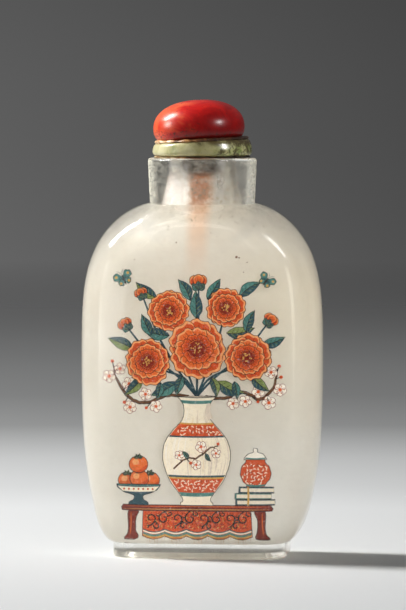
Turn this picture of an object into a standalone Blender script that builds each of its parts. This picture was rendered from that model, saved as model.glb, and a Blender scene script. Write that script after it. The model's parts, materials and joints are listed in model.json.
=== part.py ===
"""Snuff bottle of clear glass, hollow, with a foot, a short neck and a stopper of four pieces.

Metres, +Z up. The foot stands on z = 0, the bottle's width runs along X and its depth along Y.
"""
import math

import bmesh
import bpy
import numpy as np

# Driving dimensions of the bottle's outside
BODY_WIDTH = 0.0375
BODY_DEPTH = 0.0192
BODY_HEIGHT = 0.0523
WIDEST_HEIGHT = 0.0276
NECK_DIAMETER = 0.0163
RIM_DIAMETER = 0.0169
NECK_HEIGHT = 0.0071
FOOT_WIDTH = 0.0270
FOOT_DEPTH = 0.0166
FOOT_HEIGHT = 0.0024

# Driving dimensions of the hollow and the walls
WALL = 0.0021
FLOOR_THICKNESS = 0.0021
SHOULDER_THICKNESS = 0.0020
BORE_DIAMETER = 0.0069
BORE_FLARE = 0.0010
FOOT_RIM = 0.0021
FOOT_RECESS = 0.0009
EDGE_RADIUS = 0.0005

# How full the outlines are: pairs of powers, where larger is squarer
SHOULDER_FRONT = (3.72, 1.54)
SHOULDER_SIDE = (12.0, 1.20)
CORNER_FRONT = (2.70, 1.75)
CORNER_SIDE = (6.0, 1.80)
PANEL_PLAN = (5.0, 2.5)
FOOT_PLAN = (5.5, 5.5)
ROUND_PLAN = (2.0, 2.0)

# Driving dimensions of the stopper
SEAT_GAP = 0.0003
COLLAR_DIAMETER = 0.0157
COLLAR_HEIGHT = 0.0023
CAP_DIAMETER = 0.0143
CAP_HEIGHT = 0.0061
CAP_SHIFT = -0.0004
CAP_TILT = math.radians(-3.0)
CORK_CLEARANCE = 0.0004
CORK_HEAD = 0.0018
CORK_LENGTH = 0.0070
CORK_STEP = 0.0012
SPOON_WIDTH = 0.0028
SPOON_THICKNESS = 0.0012
SPOON_BOWL_WIDTH = 0.0042
SPOON_BOWL_LENGTH = 0.0080
SPOON_FLOOR_CLEARANCE = 0.0110

# Fineness of the meshes
QUARTER_STEPS = 14
BODY_STEPS = 11
CORNER_STEPS = 12
EDGE_STEPS = 3
STOPPER_QUARTER_STEPS = 10
CAP_STEPS = 11
SMALL_QUARTER_STEPS = 5
SMOOTH_ANGLE = math.radians(38)

# Heights and half sizes that follow from the driving dimensions
SHOULDER_Z = FOOT_HEIGHT + BODY_HEIGHT
WIDEST_Z = FOOT_HEIGHT + WIDEST_HEIGHT
RIM_Z = SHOULDER_Z + NECK_HEIGHT
FLOOR_Z = FOOT_RECESS + FLOOR_THICKNESS
CEILING_Z = SHOULDER_Z - SHOULDER_THICKNESS
BORE_RADIUS = BORE_DIAMETER / 2
THROAT_RADIUS = BORE_RADIUS + BORE_FLARE
CORK_RADIUS = BORE_RADIUS - CORK_CLEARANCE


def clear_scene():
    """Remove whatever the file holds before the bottle is built."""
    for old in list(bpy.data.objects):
        bpy.data.objects.remove(old, do_unlink=True)


def make_material(name, colour, roughness, transmission=0.0, ior=1.5):
    """A Principled material with the piece's plain colour and gloss."""
    material = bpy.data.materials.new(name)
    material.use_nodes = True
    shader = material.node_tree.nodes["Principled BSDF"]
    shader.inputs["Base Color"].default_value = (*colour, 1.0)
    shader.inputs["Roughness"].default_value = roughness
    shader.inputs["Metallic"].default_value = 0.0
    shader.inputs["Transmission Weight"].default_value = transmission
    shader.inputs["IOR"].default_value = ior
    material.diffuse_color = (*colour, 1.0)
    return material


def outline(half_x, half_y, plan, steps):
    """One closed outline of a rounded oblong, evenly spaced within each of its quarters."""
    turn = np.linspace(0.0, math.pi / 2, 400)
    x = half_x * np.cos(turn) ** (2 / plan[0])
    y = half_y * np.sin(turn) ** (2 / plan[1])
    run = np.concatenate(([0.0], np.cumsum(np.hypot(np.diff(x), np.diff(y)))))
    even = np.linspace(0.0, run[-1], steps + 1)
    x = np.interp(even, run, x)
    y = np.interp(even, run, y)
    x[-1] = 0.0
    right_front = list(zip(x[:-1], y[:-1]))
    left_front = list(zip(-x[:0:-1], y[:0:-1]))
    left_back = [(-px, -py) for px, py in right_front]
    right_back = [(-px, -py) for px, py in left_front]
    return right_front + left_front + left_back + right_back


def add_object(name, mesh, material, parent):
    """Put a finished mesh in the scene, smooth on its round faces, under its parent."""
    mesh.materials.append(material)
    mesh.shade_smooth()
    mesh.set_sharp_from_angle(angle=SMOOTH_ANGLE)
    item = bpy.data.objects.new(name, mesh)
    bpy.context.scene.collection.objects.link(item)
    item.parent = parent
    return item


def loft(name, levels, steps):
    """A closed mesh through (height, half x, half y, plan) levels, with both ends filled flat."""
    shape = bmesh.new()
    rings = []
    for height, half_x, half_y, plan in levels:
        points = outline(half_x, half_y, plan, steps)
        rings.append([shape.verts.new((x, y, height)) for x, y in points])
    count = len(rings[0])
    for lower, upper in zip(rings, rings[1:]):
        for i in range(count):
            j = (i + 1) % count
            shape.faces.new((lower[i], lower[j], upper[j], upper[i]))
    shape.faces.new(rings[0][::-1])
    shape.faces.new(rings[-1])
    bmesh.ops.recalc_face_normals(shape, faces=shape.faces)
    mesh = bpy.data.meshes.new(name)
    shape.to_mesh(mesh)
    shape.free()
    return mesh


def swell(reach, powers):
    """How full an outline is, 1 at its widest and 0 where it meets the neck or the foot."""
    return max(0.0, 1.0 - reach ** powers[0]) ** (1.0 / powers[1])


def blend_plans(first, second, share):
    """The plan between two plans, easing from the first at share 0 to the second at share 1."""
    share = min(max(share, 0.0), 1.0)
    ease = share * share * (3.0 - 2.0 * share)
    return tuple(a + (b - a) * ease for a, b in zip(first, second))


def reaches(steps):
    """Shares of the way from the widest level to an end, closer together towards the end."""
    return [math.sin(math.pi / 2 * i / steps) for i in range(steps + 1)]


def upper_levels(top_z, half_x, half_y, end_radius, steps):
    """Levels from the widest height up to a round opening."""
    levels = []
    for reach in reaches(steps):
        z = WIDEST_Z + (top_z - WIDEST_Z) * reach
        x = end_radius + (half_x - end_radius) * swell(reach, SHOULDER_FRONT)
        y = end_radius + (half_y - end_radius) * swell(reach, SHOULDER_SIDE)
        levels.append((z, x, y, blend_plans(PANEL_PLAN, ROUND_PLAN, 2.5 * reach - 1.5)))
    return levels


def lower_levels(bottom_z, half_x, half_y, end_x, end_y, steps):
    """Levels from the widest height down to the foot or to the floor of the hollow."""
    levels = []
    for reach in reaches(steps):
        z = WIDEST_Z + (bottom_z - WIDEST_Z) * reach
        x = end_x + (half_x - end_x) * swell(reach, CORNER_FRONT)
        y = end_y + (half_y - end_y) * swell(reach, CORNER_SIDE)
        levels.append((z, x, y, blend_plans(PANEL_PLAN, FOOT_PLAN, 4.0 * reach - 3.0)))
    return levels


def rounded_edge(z, half_x, half_y, plan, radius, upward):
    """Levels round an outer edge: from the flat face to the upright side, or back."""
    levels = []
    for i in range(EDGE_STEPS + 1):
        angle = math.pi / 2 * i / EDGE_STEPS
        inset = radius * (1.0 - math.sin(angle))
        rise = radius * (1.0 - math.cos(angle))
        levels.append((z + rise * upward, half_x - inset, half_y - inset, plan))
    return levels


def bottle_levels():
    """The bottle's levels: underside, foot, outer wall, rim, bore and the wall of the hollow."""
    foot_x = FOOT_WIDTH / 2
    foot_y = FOOT_DEPTH / 2
    neck = NECK_DIAMETER / 2
    rim = RIM_DIAMETER / 2
    inner_x = BODY_WIDTH / 2 - WALL
    inner_y = BODY_DEPTH / 2 - WALL
    recess_x = foot_x - FOOT_RIM
    recess_y = foot_y - FOOT_RIM
    levels = [
        (FOOT_RECESS, recess_x - FOOT_RECESS / 2, recess_y - FOOT_RECESS / 2, FOOT_PLAN),
        (0.0, recess_x, recess_y, FOOT_PLAN),
    ]
    levels += rounded_edge(0.0, foot_x, foot_y, FOOT_PLAN, EDGE_RADIUS, 1)
    levels += lower_levels(FOOT_HEIGHT, BODY_WIDTH / 2, BODY_DEPTH / 2, foot_x, foot_y,
                           CORNER_STEPS)[::-1]
    levels += upper_levels(SHOULDER_Z, BODY_WIDTH / 2, BODY_DEPTH / 2, neck, BODY_STEPS)[1:]
    levels.append((RIM_Z - NECK_HEIGHT / 2, (neck + rim) / 2, (neck + rim) / 2, ROUND_PLAN))
    levels += rounded_edge(RIM_Z, rim, rim, ROUND_PLAN, EDGE_RADIUS, -1)[::-1]
    levels += [
        (RIM_Z, BORE_RADIUS + EDGE_RADIUS / 2, BORE_RADIUS + EDGE_RADIUS / 2, ROUND_PLAN),
        (RIM_Z - EDGE_RADIUS / 2, BORE_RADIUS, BORE_RADIUS, ROUND_PLAN),
        (RIM_Z - NECK_HEIGHT / 3, BORE_RADIUS, BORE_RADIUS, ROUND_PLAN),
    ]
    levels += upper_levels(CEILING_Z, inner_x, inner_y, THROAT_RADIUS, BODY_STEPS)[::-1]
    levels += lower_levels(FLOOR_Z, inner_x, inner_y, foot_x - WALL, foot_y - WALL,
                           CORNER_STEPS)[1:]
    return levels


def build_bottle(parent):
    """The glass: one piece with its foot, neck, bore and hollow."""
    glass = make_material("clear_glass", (0.95, 0.95, 0.92), 0.03, transmission=1.0, ior=1.5)
    mesh = loft("bottle", bottle_levels(), QUARTER_STEPS)
    return add_object("bottle", mesh, glass, parent)


def tilt_top(mesh, height, slope):
    """Raise or lower the points in the upper half so that the top face slopes along X."""
    for vertex in mesh.vertices:
        if vertex.co.z > height / 2:
            vertex.co.z += vertex.co.x * slope


def build_collar(parent):
    """The stone disc that rests on the rim, thicker on the side away from the cap's lean."""
    stone = make_material("pale_green_stone", (0.58, 0.58, 0.36), 0.30)
    radius = COLLAR_DIAMETER / 2
    shares = (
        (0.00, 0.94),
        (0.09, 0.98),
        (0.30, 1.00),
        (0.60, 0.985),
        (0.88, 0.955),
        (1.00, 0.91),
    )
    levels = []
    for rise, width in shares:
        levels.append((COLLAR_HEIGHT * rise, radius * width, radius * width, ROUND_PLAN))
    mesh = loft("stopper_collar", levels, STOPPER_QUARTER_STEPS)
    tilt_top(mesh, COLLAR_HEIGHT, math.tan(-CAP_TILT))
    collar = add_object("stopper_collar", mesh, stone, parent)
    collar.location.z = SEAT_GAP
    return collar


def build_cap(parent):
    """The domed cap, set a little off centre and leaning with the collar's top face."""
    coral = make_material("red_coral", (0.60, 0.05, 0.03), 0.28)
    radius = CAP_DIAMETER / 2
    waist = 0.28 * CAP_HEIGHT
    dome = CAP_HEIGHT - waist
    levels = [
        (0.0, 0.90 * radius, 0.90 * radius, ROUND_PLAN),
        (0.25 * waist, 0.955 * radius, 0.955 * radius, ROUND_PLAN),
        (0.6 * waist, 0.988 * radius, 0.988 * radius, ROUND_PLAN),
    ]
    for i in range(CAP_STEPS):
        angle = math.pi / 2 * i / CAP_STEPS
        height = waist + dome * math.sin(angle) ** (2 / 2.25)
        width = radius * math.cos(angle) ** (2 / 2.25)
        levels.append((height, width, width, ROUND_PLAN))
    levels.append((CAP_HEIGHT, 0.06 * radius, 0.06 * radius, ROUND_PLAN))
    mesh = loft("stopper_cap", levels, STOPPER_QUARTER_STEPS)
    cap = add_object("stopper_cap", mesh, coral, parent)
    cap.location = (CAP_SHIFT, 0.0, SEAT_GAP + COLLAR_HEIGHT + SEAT_GAP)
    cap.rotation_euler.y = CAP_TILT
    return cap


def build_cork(parent):
    """The plug under the collar: a head as wide as the bore lets in and a narrower stub."""
    bark = make_material("brown_cork", (0.24, 0.12, 0.08), 0.85)
    stub = CORK_RADIUS - CORK_STEP
    levels = [
        (0.0, CORK_RADIUS, CORK_RADIUS, ROUND_PLAN),
        (-CORK_HEAD, CORK_RADIUS, CORK_RADIUS, ROUND_PLAN),
        (-CORK_HEAD, stub, stub, ROUND_PLAN),
        (-CORK_LENGTH, 0.92 * stub, 0.92 * stub, ROUND_PLAN),
    ]
    mesh = loft("stopper_cork", levels, SMALL_QUARTER_STEPS)
    return add_object("stopper_cork", mesh, bark, parent)


def build_spoon(parent):
    """The long thin spoon that hangs from the cork into the hollow."""
    horn = make_material("brown_horn", (0.52, 0.27, 0.14), 0.45)
    top = -CORK_LENGTH - SEAT_GAP
    tip = FLOOR_Z + SPOON_FLOOR_CLEARANCE - RIM_Z
    bowl = tip + SPOON_BOWL_LENGTH
    stem_x = SPOON_WIDTH / 2
    stem_y = SPOON_THICKNESS / 2
    bowl_x = SPOON_BOWL_WIDTH / 2
    levels = [
        (top, stem_x, stem_y, ROUND_PLAN),
        ((top + bowl) / 2, 0.9 * stem_x, stem_y, ROUND_PLAN),
        (bowl, 0.8 * stem_x, stem_y, ROUND_PLAN),
    ]
    for i in range(1, CORNER_STEPS):
        share = i / CORNER_STEPS
        width = 0.8 * stem_x + (bowl_x - 0.8 * stem_x) * math.sin(math.pi / 2 * min(1, 2 * share))
        if share > 0.5:
            width = bowl_x * math.sqrt(1.0 - (2 * share - 1) ** 2)
        levels.append((bowl + (tip - bowl) * share, width, 0.85 * stem_y, ROUND_PLAN))
    levels.append((tip, 0.3 * bowl_x, 0.5 * stem_y, ROUND_PLAN))
    mesh = loft("stopper_spoon", levels, SMALL_QUARTER_STEPS)
    return add_object("stopper_spoon", mesh, horn, parent)


def build_snuff_bottle():
    """The bottle, and its stopper where it rests on the rim."""
    clear_scene()
    root = bpy.data.objects.new("snuff_bottle", None)
    bpy.context.scene.collection.objects.link(root)
    stopper = bpy.data.objects.new("stopper", None)
    bpy.context.scene.collection.objects.link(stopper)
    stopper.parent = root
    stopper.location.z = RIM_Z
    build_bottle(root)
    build_collar(stopper)
    build_cap(stopper)
    build_cork(stopper)
    build_spoon(stopper)


build_snuff_bottle()
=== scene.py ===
"""The looks of the snuff bottle: clear glass over a ground and painted inside, and its stopper."""
import json
import math
import random

import bmesh
import bpy
import numpy as np
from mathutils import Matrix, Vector, noise
from mathutils.geometry import delaunay_2d_cdt

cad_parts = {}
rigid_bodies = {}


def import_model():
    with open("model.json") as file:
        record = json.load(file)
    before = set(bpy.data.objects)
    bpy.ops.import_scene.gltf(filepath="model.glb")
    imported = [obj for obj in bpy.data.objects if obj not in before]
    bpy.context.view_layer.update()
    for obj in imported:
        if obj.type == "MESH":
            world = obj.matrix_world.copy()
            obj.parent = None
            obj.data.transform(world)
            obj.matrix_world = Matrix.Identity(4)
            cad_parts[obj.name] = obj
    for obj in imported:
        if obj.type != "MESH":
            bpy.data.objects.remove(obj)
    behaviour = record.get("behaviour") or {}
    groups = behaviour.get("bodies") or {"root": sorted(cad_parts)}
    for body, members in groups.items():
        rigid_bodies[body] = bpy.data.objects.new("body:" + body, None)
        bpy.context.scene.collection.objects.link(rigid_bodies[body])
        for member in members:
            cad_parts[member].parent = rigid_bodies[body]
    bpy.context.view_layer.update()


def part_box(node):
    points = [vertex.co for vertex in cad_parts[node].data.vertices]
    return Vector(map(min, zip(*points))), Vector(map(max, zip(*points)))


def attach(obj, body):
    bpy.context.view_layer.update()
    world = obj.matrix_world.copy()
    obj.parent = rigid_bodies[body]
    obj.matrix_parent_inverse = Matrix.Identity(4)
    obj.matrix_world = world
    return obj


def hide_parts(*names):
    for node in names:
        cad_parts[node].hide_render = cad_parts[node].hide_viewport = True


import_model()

MM = 0.001
GLASS_LOW, GLASS_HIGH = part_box("bottle")
COLLAR_LOW, COLLAR_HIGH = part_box("stopper_collar")
CAP_LOW, CAP_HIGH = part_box("stopper_cap")
CORK_LOW, CORK_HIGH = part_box("stopper_cork")
SPOON_LOW, SPOON_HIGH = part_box("stopper_spoon")

# The bottle's form, as the CAD model has it
HALF_WIDTH = GLASS_HIGH.x
HALF_DEPTH = GLASS_HIGH.y
RIM_Z = GLASS_HIGH.z
FOOT_HALF_WIDTH = 13.5 * MM
FOOT_HALF_DEPTH = 8.3 * MM
FOOT_HEIGHT = 2.4 * MM
FOOT_RIM = 2.1 * MM
FOOT_RECESS = 0.9 * MM
WIDEST_Z = 30.0 * MM
SHOULDER_Z = 54.7 * MM
NECK_RADIUS = 8.15 * MM
RIM_RADIUS = 8.45 * MM
WALL = 2.1 * MM
CEILING_Z = SHOULDER_Z - 2.0 * MM
FLOOR_Z = FOOT_RECESS + 2.1 * MM
BORE_RADIUS = 3.45 * MM
THROAT_RADIUS = BORE_RADIUS + 1.0 * MM
EDGE_RADIUS = 0.5 * MM
EDGE_STEPS = 6
RING_QUARTER = 48
SHOULDER_FRONT = (3.72, 1.54)
SHOULDER_SIDE = (12.0, 1.20)
CORNER_FRONT = (2.70, 1.75)
CORNER_SIDE = (6.0, 1.80)
PANEL_PLAN = (5.0, 2.5)
FOOT_PLAN = (5.5, 5.5)
ROUND_PLAN = (2.0, 2.0)

# A soft ridge where the flat front and back turn into the rounded sides
PANEL_SIDE_INSET = 3.5 * MM
PANEL_TOP_INSET = 3.3 * MM
PANEL_LOW_INSET = 3.0 * MM
RIDGE_HEIGHT = 0.17 * MM
RIDGE_SPREAD = 0.34
LINING_TRANSLUCENCE = 0.66
GLASS_IOR = 1.5
SHARP_ANGLE = math.radians(40)

# The stopper's form, as the CAD model has it, with the reach of the collar's top edge in its
# own heights
SEAT_GAP = 0.3 * MM
COLLAR_HEIGHT = 2.3 * MM
COLLAR_EDGE_REACH = 0.91 * 3.4
LEAN_SLOPE = math.tan(math.radians(3))
CAP_HEIGHT = 6.1 * MM
CAP_RADIUS = 7.15 * MM
CAP_SHIFT = -0.4 * MM
CAP_TILT = math.radians(-3.0)
CAP_POWER = 2.25
STONE_STEPS = 128


# Node helpers


def give(socket, value):
    """Set a socket to a number or a colour, or link what a node puts out to it."""
    if isinstance(value, Value):
        value.look.tree.links.new(value.socket, socket)
    elif socket.type == "RGBA":
        socket.default_value = (*value, 1.0)
    else:
        socket.default_value = value


class Value:
    """What a node of a look puts out: a number, a colour or a shader. Arithmetic adds nodes."""

    def __init__(self, look, socket):
        self.look = look
        self.socket = socket

    def maths(self, operation, first, second=0.0):
        """Arithmetic on two numbers, one of which may be plain."""
        return self.look.node("ShaderNodeMath", "Value", {0: first, 1: second},
                              operation=operation)

    def __add__(self, other):
        return self.maths("ADD", self, other)

    def __sub__(self, other):
        return self.maths("SUBTRACT", self, other)

    def __rsub__(self, other):
        return self.maths("SUBTRACT", other, self)

    def __mul__(self, other):
        return self.maths("MULTIPLY", self, other)

    def __truediv__(self, other):
        return self.maths("DIVIDE", self, other)

    def __pow__(self, other):
        return self.maths("POWER", self, other)

    def __abs__(self):
        return self.maths("ABSOLUTE", self)

    def largest(self, *others):
        """The largest of this number and others."""
        result = self
        for other in others:
            result = self.maths("MAXIMUM", result, other)
        return result

    def fade(self, low, high, start=0.0, end=1.0):
        """The number moved from one range to another, held at the ends."""
        return self.look.node("ShaderNodeMapRange", "Result", {
            "Value": self, "From Min": low, "From Max": high, "To Min": start, "To Max": end})

    def over(self, low, high, start=0.0, end=1.0):
        """The same from a range in millimetres."""
        return self.fade(low * MM, high * MM, start, end)

    def ramp(self, *stops):
        """Colours along the number: each stop is a place and a colour."""
        colour = self.look.node("ShaderNodeValToRGB", "Color", {"Fac": self})
        elements = colour.socket.node.color_ramp.elements
        while len(elements) < len(stops):
            elements.new(0.5)
        for element, (place, stop) in zip(elements, stops):
            element.position = place
            element.color = (*stop, 1.0)
        return colour

    def under(self, *layers, blend="MIX"):
        """This colour under layers of others, each with its share and its colour."""
        colour = self
        for share, other in layers:
            colour = self.look.node("ShaderNodeMix", 2, {0: share, 6: colour, 7: other},
                                    data_type="RGBA", blend_type=blend)
        return colour


class Look:
    """A material or a world: its main shader and the nodes that feed it."""

    def __init__(self, block, main, **values):
        block.use_nodes = True
        self.block = block
        self.tree = block.node_tree
        self.main = self.tree.nodes[main]
        self.body = Value(self, self.main.outputs[0])
        self.set(**values)

    def set(self, **values):
        """Give the main shader values by socket name, with _ for a space."""
        for key, value in values.items():
            give(self.main.inputs[key.replace("_", " ")], value)

    def node(self, kind, output, values=(), **settings):
        """What a new node puts out, with values by socket and settings by property."""
        node = self.tree.nodes.new(kind)
        for key, value in settings.items():
            setattr(node, key, value)
        for key, value in dict(values).items():
            give(node.inputs[key], value)
        return Value(self, node.outputs[output])

    def axis(self, name, space="Object"):
        """The place along X, Y or Z, in metres in the piece's own space."""
        place = self.node("ShaderNodeTexCoord", space)
        return self.node("ShaderNodeSeparateXYZ", name, {"Vector": place})

    def noise(self, scale, detail, roughness=0.55, distortion=0.0, stretch=(1, 1, 1)):
        """A noise pattern in the piece's own space, with scale in waves a metre."""
        place = self.node("ShaderNodeTexCoord", "Object")
        place = self.node("ShaderNodeMapping", "Vector", {"Vector": place, "Scale": stretch})
        return self.node("ShaderNodeTexNoise", "Fac", {
            "Vector": place, "Scale": scale, "Detail": detail, "Roughness": roughness,
            "Distortion": distortion})

    def bump(self, height, strength, distance):
        """The normal that a height value gives."""
        return self.node("ShaderNodeBump", "Normal", {
            "Height": height, "Strength": strength, "Distance": distance})

    def mix_shaders(self, share, first, second):
        """Two shaders mixed by a share."""
        return self.node("ShaderNodeMixShader", "Shader", {0: share, 1: first, 2: second})

    def lamps_through(self, shader):
        """Glass that doesn't block lamps, so that what is behind it is lit."""
        shadow = self.node("ShaderNodeLightPath", "Is Shadow Ray")
        clear = self.node("ShaderNodeBsdfTransparent", "BSDF", {"Color": (0.97, 0.97, 0.95)})
        return self.mix_shaders(shadow, shader, clear)

    def surface(self, shader):
        """Make a shader the material's surface."""
        give(self.tree.nodes["Material Output"].inputs["Surface"], shader)


def new_look(name, **values):
    """A new material with its Principled shader."""
    return Look(bpy.data.materials.new(name), "Principled BSDF", **values)


# Mesh helpers


def around(count):
    """The cosines and sines of a full turn in even steps."""
    turns = [2 * math.pi * i / count for i in range(count)]
    return [(math.cos(turn), math.sin(turn)) for turn in turns]


def finish_piece(mesh, materials, replaces=None):
    """Put a finished mesh in the scene as a piece of the object."""
    for material in materials:
        mesh.materials.append(material)
    mesh.shade_smooth()
    mesh.set_sharp_from_angle(angle=SHARP_ANGLE)
    piece = bpy.data.objects.new(mesh.name, mesh)
    bpy.context.scene.collection.objects.link(piece)
    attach(piece, "root")
    if replaces:
        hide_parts(replaces)


def outline(half_x, half_y, plan, steps):
    """One closed outline of a rounded oblong, evenly spaced within each of its quarters."""
    turn = np.linspace(0.0, math.pi / 2, 600)
    x = half_x * np.cos(turn) ** (2 / plan[0])
    y = half_y * np.sin(turn) ** (2 / plan[1])
    run = np.concatenate(([0.0], np.cumsum(np.hypot(np.diff(x), np.diff(y)))))
    even = np.linspace(0.0, run[-1], steps + 1)
    x = np.interp(even, run, x)
    y = np.interp(even, run, y)
    x[-1] = 0.0
    quarter = np.column_stack((x[:-1], y[:-1]))
    second = np.column_stack((-x[:0:-1], y[:0:-1]))
    return np.vstack((quarter, second, -quarter, -second))


def loft_mesh(name, rings, slots=None, closed=False):
    """A mesh through rings of points, filled at both ends unless it closes on itself.

    slots gives the material slot of each band.
    """
    count = len(rings[0])
    bands = len(rings) if closed else len(rings) - 1
    faces = []
    for i in range(bands):
        start = i * count
        following = (i + 1) % len(rings) * count
        for j in range(count):
            k = (j + 1) % count
            faces.append((start + j, start + k, following + k, following + j))
    material_slots = np.repeat(slots or [0] * bands, count).tolist()
    if not closed:
        last = (len(rings) - 1) * count
        faces.append(tuple(range(count - 1, -1, -1)))
        faces.append(tuple(range(last, last + count)))
        material_slots += [material_slots[0], material_slots[-1]]
    mesh = bpy.data.meshes.new(name)
    mesh.from_pydata([tuple(point) for ring in rings for point in ring], [], faces)
    mesh.polygons.foreach_set("material_index", material_slots)
    shape = bmesh.new()
    shape.from_mesh(mesh)
    bmesh.ops.recalc_face_normals(shape, faces=shape.faces)
    shape.to_mesh(mesh)
    shape.free()
    return mesh


# The glass


# Half sizes at the widest, top and its radius, bottom and its half sizes
OUTSIDE = (HALF_WIDTH, HALF_DEPTH, SHOULDER_Z, NECK_RADIUS, FOOT_HEIGHT, FOOT_HALF_WIDTH,
           FOOT_HALF_DEPTH)
HOLLOW = (HALF_WIDTH - WALL, HALF_DEPTH - WALL, CEILING_Z, THROAT_RADIUS, FLOOR_Z,
          FOOT_HALF_WIDTH - WALL, FOOT_HALF_DEPTH - WALL)


def swell(reach, powers):
    """How full an outline is, 1 at its widest and 0 where it meets the neck or the foot."""
    return max(0.0, 1.0 - reach ** powers[0]) ** (1.0 / powers[1])


def blend_plans(first, second, share):
    """The plan between two plans, easing from the first at share 0 to the second at share 1."""
    share = min(max(share, 0.0), 1.0)
    ease = share * share * (3.0 - 2.0 * share)
    return tuple(a + (b - a) * ease for a, b in zip(first, second))


def body_level(z, form):
    """The level of the body's outside or hollow at a height: its half sizes and its plan."""
    half_x, half_y, top_z, end_radius, bottom_z, end_x, end_y = form
    if z >= WIDEST_Z:
        reach = min(1.0, (z - WIDEST_Z) / (top_z - WIDEST_Z))
        end_x = end_y = end_radius
        front, side = SHOULDER_FRONT, SHOULDER_SIDE
        plan = blend_plans(PANEL_PLAN, ROUND_PLAN, 2.5 * reach - 1.5)
    else:
        reach = min(1.0, (WIDEST_Z - z) / (WIDEST_Z - bottom_z))
        front, side = CORNER_FRONT, CORNER_SIDE
        plan = blend_plans(PANEL_PLAN, FOOT_PLAN, 4.0 * reach - 3.0)
    x = end_x + (half_x - end_x) * swell(reach, front)
    y = end_y + (half_y - end_y) * swell(reach, side)
    return z, x, y, plan


def body_levels(form, low_steps, high_steps):
    """The levels of a form from bottom to top, closer together towards its ends."""
    heights = [WIDEST_Z]
    for end_z, steps in ((form[4], low_steps), (form[2], high_steps)):
        heights += [WIDEST_Z + (end_z - WIDEST_Z) * math.sin(math.pi / 2 * i / steps)
                    for i in range(1, steps + 1)]
    return [body_level(z, form) for z in sorted(heights)]


def cone_levels(first, last, steps, start=0):
    """Round levels in even steps from one height and radius towards another."""
    levels = []
    for i in range(start, steps):
        z, radius = (a + (b - a) * i / steps for a, b in zip(first, last))
        levels.append((z, radius, radius, ROUND_PLAN))
    return levels


def rounded_edge(z, half_x, half_y, plan, upward):
    """Levels round an outer edge, from the flat face to the upright side."""
    levels = []
    for i in range(EDGE_STEPS + 1):
        angle = math.pi / 2 * i / EDGE_STEPS
        inset = EDGE_RADIUS * (1.0 - math.sin(angle))
        rise = EDGE_RADIUS * (1.0 - math.cos(angle))
        levels.append((z + rise * upward, half_x - inset, half_y - inset, plan))
    return levels


def glass_levels():
    """The outer levels of the glass and the levels of its bore and hollow."""
    recess_x = FOOT_HALF_WIDTH - FOOT_RIM
    recess_y = FOOT_HALF_DEPTH - FOOT_RIM
    lip = BORE_RADIUS + EDGE_RADIUS / 2
    outer = [(FOOT_RECESS, recess_x - FOOT_RECESS / 2, recess_y - FOOT_RECESS / 2, FOOT_PLAN),
             (0.0, recess_x, recess_y, FOOT_PLAN)]
    outer += rounded_edge(0.0, FOOT_HALF_WIDTH, FOOT_HALF_DEPTH, FOOT_PLAN, 1)
    outer += body_levels(OUTSIDE, 44, 56)
    outer += cone_levels((SHOULDER_Z, NECK_RADIUS), (RIM_Z - EDGE_RADIUS, RIM_RADIUS), 12, 1)
    outer += rounded_edge(RIM_Z, RIM_RADIUS, RIM_RADIUS, ROUND_PLAN, -1)[::-1]
    outer.append((RIM_Z, lip, lip, ROUND_PLAN))
    flare = (RIM_Z - (RIM_Z - SHOULDER_Z) / 3, BORE_RADIUS)
    inner = cone_levels((RIM_Z - EDGE_RADIUS / 2, BORE_RADIUS), flare, 4)
    inner += cone_levels(flare, (CEILING_Z, THROAT_RADIUS), 16)
    inner += body_levels(HOLLOW, 36, 48)[::-1]
    return outer, inner


def panel_ridge(x, z):
    """How far a soft ridge round the flat panel stands out at a place."""
    if not FOOT_HEIGHT < z < SHOULDER_Z:
        return 0.0
    half_x = body_level(z, OUTSIDE)[1]
    gaps = ((half_x - abs(x)) / PANEL_SIDE_INSET, (SHOULDER_Z - z) / PANEL_TOP_INSET,
            (z - FOOT_HEIGHT) / PANEL_LOW_INSET)
    inset = sum(max(gap, 0.01) ** -4.0 for gap in gaps) ** -0.25
    return RIDGE_HEIGHT * math.exp(-((inset - 1.0) / RIDGE_SPREAD) ** 2)


def clear_glass():
    """Polished clear glass, a little wavy, with a thin haze of wear at the neck and the foot."""
    look = new_look("clear_glass", Base_Color=(0.97, 0.97, 0.94), Roughness=0.17, IOR=GLASS_IOR,
                    Transmission_Weight=1.0)
    look.set(Normal=look.bump(look.noise(260.0, 2.0), 0.25, 0.08 * MM))
    height = look.axis("Z")
    aside = abs(look.axis("X"))
    neck = (height.fade(SHOULDER_Z - 1.5 * MM, SHOULDER_Z + 0.5 * MM)
            * aside.over(6.1, 7.4, 0.10, 0.20))
    foot = height.fade(FOOT_HEIGHT + 1.0 * MM, FOOT_HEIGHT, 0.0, 0.05)
    wear = look.noise(1300.0, 8.0, 0.85, stretch=(0.6, 0.6, 1.0)).fade(0.42, 0.62, 0.0, 2.2)
    rim = (aside.over(7.3, 8.2, 0.0, 0.30)
           * height.fade(SHOULDER_Z - 0.5 * MM, SHOULDER_Z + 0.5 * MM))
    haze = look.node("ShaderNodeBsdfDiffuse", "BSDF", {"Color": (0.80, 0.77, 0.64)})
    worn = look.mix_shaders((neck + foot + 0.012) * wear + rim, look.body, haze)
    look.surface(look.lamps_through(worn))
    return look.block


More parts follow.
